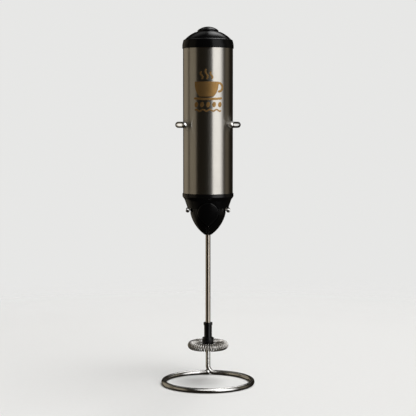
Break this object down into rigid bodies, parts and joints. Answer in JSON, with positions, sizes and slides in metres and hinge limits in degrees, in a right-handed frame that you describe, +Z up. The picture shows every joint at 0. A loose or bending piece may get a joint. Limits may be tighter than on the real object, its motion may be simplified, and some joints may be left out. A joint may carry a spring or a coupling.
{
  "type": "milk frother",
  "caption": "Battery milk frother with a steel tube handle, black cap, button and cone nose, a coiled whisk on a thin shaft, hanging in a bent wire stand.",
  "frame": {"origin": "middle of the base ring's footprint on the floor", "axes": "+Z up along the post, -Y to the front where the clips are open, +X to the right seen from the front"},
  "size_m": [0.062, 0.0624, 0.2365],
  "materials": {
    "stand_steel": "polished wire",
    "tube_steel": "brushed round the tube",
    "black_gloss": "satin gloss",
    "black_satin": "satin",
    "carrier_plastic": "moulded",
    "cell_gold": "printed sleeve",
    "nickel_strip": "nickel plated",
    "spring_steel": "nickel plated",
    "switch_blue": "moulded",
    "switch_white": "moulded",
    "motor_steel": "zinc plated",
    "magnet": "matt ferrite",
    "motor_white": "nylon",
    "bronze": "sintered",
    "copper": "enamelled",
    "screw_steel": "zinc plated",
    "shaft_steel": "ground rod",
    "whisk_steel": "bright spring wire"
  },
  "bodies": {
    "stand": {"stand_wire": "stand_steel", "foot_weld": "stand_steel", "upper_clip": "stand_steel", "lower_clip": "stand_steel"},
    "chassis": {"nose_cone": "black_gloss", "battery_carrier": "carrier_plastic", "battery_left": "cell_gold", "battery_right": "cell_gold", "bridge_contact": "nickel_strip", "bridge_spring": "spring_steel", "switch_contact": "nickel_strip", "negative_contact": "nickel_strip", "negative_spring": "spring_steel", "motor_strip": "nickel_strip", "switch_body": "switch_blue", "switch_spring": "spring_steel", "switch_pins": "nickel_strip", "motor_plate": "carrier_plastic", "motor_can": "motor_steel", "motor_magnets": "magnet", "motor_end_cap": "motor_white", "motor_bushings": "bronze", "motor_brushes": "bronze", "motor_screws": "screw_steel", "nose_screws": "screw_steel", "shaft_bush": "bronze"},
    "sleeve": {"handle_tube": "tube_steel", "top_cap": "black_gloss"},
    "button": {"power_button": "black_gloss"},
    "plunger": {"switch_plunger": "switch_white"},
    "latch": {"release_tab": "black_satin"},
    "rotor": {"motor_shaft": "shaft_steel", "rotor_core": "motor_steel", "rotor_windings": "copper", "commutator": "copper", "shaft_coupling": "motor_white", "whisk_shaft": "shaft_steel", "whisk_hub": "black_satin", "whisk_hoop": "whisk_steel", "whisk_coil": "whisk_steel"}
  },
  "joints": [
    {"name": "frother_lift", "type": "slide", "parent": "stand", "child": "chassis", "axis": [0, 0, 1], "range_m": [0, 0.08]},
    {"name": "sleeve_pull", "type": "slide", "parent": "chassis", "child": "sleeve", "axis": [0, 0, 1], "range_m": [0, 0.105]},
    {"name": "button_press", "type": "slide", "parent": "sleeve", "child": "button", "axis": [0, 0, -1], "range_m": [0, 0.0016], "stiffness_N_per_m": 900, "springref_m": -0.0008},
    {"name": "plunger_press", "type": "slide", "parent": "chassis", "child": "plunger", "axis": [0, 0, -1], "range_m": [0, 0.0016], "stiffness_N_per_m": 900, "springref_m": -0.0008, "deforming": ["switch_spring"]},
    {"name": "tab_press", "type": "slide", "parent": "chassis", "child": "latch", "axis": [0, 1, 0], "range_m": [0, 0.0012], "stiffness_N_per_m": 1500, "springref_m": -0.0005},
    {"name": "whisk_spin", "type": "hinge", "parent": "chassis", "child": "rotor", "pos_m": [0, 0.00657, 0.1], "axis": [0, 0, 1], "continuous": true}
  ],
  "couplings": [
    {"joint": "plunger_press", "follows": "button_press", "ratio": 1}
  ]
}
